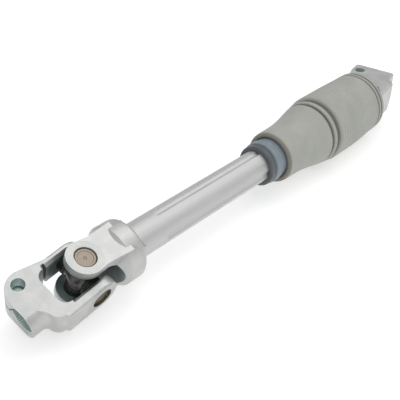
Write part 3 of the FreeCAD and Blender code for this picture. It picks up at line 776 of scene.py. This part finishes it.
@dataclass
class Boot:
    """The rubber boot: a neck on the tube, a bead between two grooves and a finely ribbed barrel.

    Places and radii are in millimetres, places from the lower joint along the shaft.
    """

    lower: Joint
    upper: Joint
    rubber: Rubber = Rubber()
    neck: Section = (
        (194.7, 16.9), (194.4, 17.6), (194.3, 18.7), (194.7, 19.7), (195.7, 20.3),
        (198.5, 20.6), (206.0, 20.7), (214.0, 20.9), (220.0, 21.4), (226.0, 22.2),
        (233.0, 23.4), (240.0, 24.8), (243.8, 25.5), (244.9, 25.7),
    )
    collar: Section = (
        (245.2, 25.4), (245.3, 24.0), (245.9, 23.4), (247.1, 23.4), (247.8, 24.0),
        (248.0, 25.5), (248.8, 26.2), (250.0, 26.5), (251.3, 26.5), (252.0, 25.9),
        (252.2, 24.5), (253.0, 23.8), (254.6, 23.8), (255.6, 24.6), (256.3, 26.2), (257.2, 27.5),
    )
    tail: Section = (
        (316.4, 0.0), (317.0, -0.1), (317.2, -0.9), (317.8, -1.1), (318.5, -1.0), (318.8, -0.1),
        (319.5, 0.1), (320.6, 0.1), (321.2, -0.1), (321.4, -0.9), (322.1, -1.2), (323.1, -1.1),
        (323.5, -0.2), (324.3, 0.0), (325.5, -0.1), (326.2, -0.5), (326.3, -1.0),
    )
    grooves: Section = ((245.4, 247.9), (252.3, 256.0), (317.2, 318.6), (321.4, 323.3))
    mouth_end: float = 196.6
    inside: Section = ((325.6, -1.0), (316.0, -1.3), (300.0, -1.5), (270.0, -1.5))
    bore: Section = (
        (258.0, 24.8), (252.0, 22.6), (240.0, 21.6), (230.0, 20.0), (220.0, 17.9),
        (206.0, 17.72), (199.4, 17.72), (198.6, 16.5), (196.0, 16.45),
    )
    barrel_radius: float = 28.0
    end_radius: float = 26.6
    taper_start: float = 284.0
    taper_end: float = 326.0
    swell_start: float = 224.0
    swell_end: float = 262.0
    rib_start: float = 258.4
    rib_end: float = 315.0
    ribs: int = 15
    rib_steps: int = 4
    rib_depth: float = 0.55
    swell_lift: float = 0.8 * MM
    end_lift: float = 1.3 * MM
    turns: int = 48
    smoothing: int = 2

    def _outer(self, place: float) -> float:
        """Radius of the barrel, which narrows towards its end."""
        share = eased(place, self.taper_start, self.taper_end)
        return self.barrel_radius + (self.end_radius - self.barrel_radius) * share

    def _section(self) -> list[tuple[float, float]]:
        """The closed section from the mouth over the outside to the end and back along the inside.

        Returns:
            Pairs of place and radius in metres.
        """
        points = [*self.neck, *self.collar]
        steps = self.ribs * self.rib_steps
        for step in range(steps + 1):
            place = self.rib_start + (self.rib_end - self.rib_start) * step / steps
            dip = 0.5 - 0.5 * math.cos(FULL_TURN * step / self.rib_steps)
            points.append((place, self._outer(place) - self.rib_depth * dip))
        over = (*self.tail, *self.inside)
        points += [(place, self._outer(place) + height) for place, height in over]
        points += self.bore
        return [(place * MM, radius * MM) for place, radius in points]

    def _lift(self, piece: bpy.types.Object) -> None:
        """Lets the barrel and the far end rise towards the bent joint.

        Args:
            piece: the boot.
        """
        low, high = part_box("upper_clamp_yoke")
        way = (Vector(low) + Vector(high)) / 2.0 - self.upper.centre
        way.x = 0.0
        way.normalize()
        for name, start, end, lift in (
            ("swell", self.swell_start, self.swell_end, self.swell_lift),
            ("end", self.taper_start, self.taper_end, self.end_lift),
        ):
            group = piece.vertex_groups.new(name=name)
            for vertex in piece.data.vertices:
                share = eased((vertex.co.x - self.lower.centre.x) / MM, start, end)
                group.add([vertex.index], share, "REPLACE")
            for direction, amount in (("Y", way.y), ("Z", way.z)):
                push = piece.modifiers.new(name + direction.lower(), "DISPLACE")
                push.direction = direction
                push.vertex_group = name
                push.mid_level = 0.0
                push.strength = amount * lift
                bpy.ops.object.modifier_apply(modifier=push.name)
        piece.vertex_groups.clear()

    def build(self) -> None:
        """Spins, lifts and smooths the boot."""
        piece = lathe("rubber_boot", self._section(), self.turns, self.lower.centre)
        self._lift(piece)
        smooth = piece.modifiers.new("smooth", "SUBSURF")
        smooth.levels = self.smoothing
        smooth.render_levels = self.smoothing
        bpy.ops.object.modifier_apply(modifier=smooth.name)
        bpy.ops.object.shade_smooth()
        lower = self.lower.centre.x
        bands = [(lower + start * MM, lower + end * MM) for start, end in self.grooves]
        finish = self.rubber.material("boot_rubber", bands, lower + self.mouth_end * MM)
        piece.data.materials.append(finish)
        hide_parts("boot")
        start, end = (
            (lower + place * MM, self.upper.centre.y, self.upper.centre.z)
            for place in (self.taper_start, self.taper_end)
        )
        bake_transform(piece)
        log.info("built %s", piece.name)


class Light(Enum):
    """The studio's soft lights: place, aim, size in metres and power in watts."""

    KEY = ((-0.25, -0.9, 1.1), (0.2, 0.0, 0.0), 0.9, 3.2)
    TOP = ((0.3, 0.1, 1.2), (0.15, 0.0, 0.0), 1.2, 3.6)
    SIDE = ((0.9, -0.3, 1.05), (0.2, 0.0, 0.0), 1.3, 3.8)


@dataclass
class Studio:
    """Floor, lights and the camera at the photo's viewing angle."""

    joint: Vector
    eye: Vector = field(default_factory=lambda: Vector((-246.87, -313.25, 303.17)) * MM)
    look: Vector = field(default_factory=lambda: Vector((0.63732, 0.55430, -0.53533)))
    lens: float = 72.0
    sensor: float = 36.0
    clip: tuple[float, float] = (0.01, 50.0)
    floor_size: float = 24.0
    floor_gap: float = 0.05 * MM
    floor_colours: tuple[Colour, Colour] = ((0.58, 0.58, 0.58), (0.61, 0.61, 0.61))
    floor_glow: float = 0.52
    sky_glow: float = 0.6

    def build(self) -> None:
        """Builds the stage."""
        self._floor()
        self._lights()
        self._camera()

    def _floor(self) -> None:
        """A large pale floor under the lowest point."""
        deselect()
        place = (0.2, 0.0, CAD_BOX[0].z - self.floor_gap)
        bpy.ops.mesh.primitive_plane_add(size=self.floor_size, location=place)
        floor = bpy.context.active_object
        floor.name = "floor"
        shade = Shade("pale_floor")
        shade.set(
            Base_Color=shade.mix(shade.noise(3.0), *self.floor_colours),
            Roughness=0.85,
            Emission_Color=(1.0, 1.0, 1.0),
            Emission_Strength=self.floor_glow,
        )
        floor.data.materials.append(shade.material)

    def _lights(self) -> None:
        """Soft lights and a pale surrounding."""
        for light in Light:
            place, aim, size, power = light.value
            data = bpy.data.lights.new(light.name.lower(), "AREA")
            data.shape = "DISK"
            data.size = size
            data.energy = power
            item = bpy.data.objects.new(light.name.lower(), data)
            item.location = place
            item.rotation_mode = "QUATERNION"
            item.rotation_quaternion = (Vector(aim) - Vector(place)).to_track_quat("-Z", "Y")
            bpy.context.scene.collection.objects.link(item)
        world = bpy.data.worlds.new("studio")
        world.use_nodes = True
        sky = world.node_tree.nodes["Background"]
        sky.inputs["Color"].default_value = (1.0, 1.0, 1.0, 1.0)
        sky.inputs["Strength"].default_value = self.sky_glow
        bpy.context.scene.world = world
        bpy.context.scene.view_settings.view_transform = "Standard"

    def _camera(self) -> None:
        """The camera, as the photo was taken."""
        data = bpy.data.cameras.new("camera")
        data.lens = self.lens
        data.sensor_width = self.sensor
        data.clip_start, data.clip_end = self.clip
        camera = bpy.data.objects.new("camera", data)
        camera.location = self.joint + self.eye
        camera.rotation_mode = "QUATERNION"
        camera.rotation_quaternion = self.look.to_track_quat("-Z", "Y")
        bpy.context.scene.collection.objects.link(camera)
        bpy.context.scene.camera = camera


def find_joints() -> dict[str, Joint]:
    """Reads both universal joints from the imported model.

    Returns:
        The joints by name.
    """
    hinges = {hinge["name"]: hinge for hinge in frame["joints"]}
    found = {}
    for name in ("lower", "upper"):
        tube = hinges[name + "_cross_turn"]
        clamp = hinges[name + "_clamp_turn"]
        centre = Vector(tube["pos_m"])
        found[name] = Joint(name, centre, Vector(tube["axis"]), Vector(clamp["axis"]))
    return found


def main() -> None:
    """Builds and dresses the whole shaft, then the studio."""
    logging.basicConfig(level=logging.INFO, format="%(name)s: %(message)s")
    joints = find_joints()
    Yokes(joints).build()
    Bearings(joints).build()
    Telescope().build()
    Boot(joints["lower"], joints["upper"]).build()
    Studio(joints["lower"].centre).build()


if __name__ == "__main__":
    main()
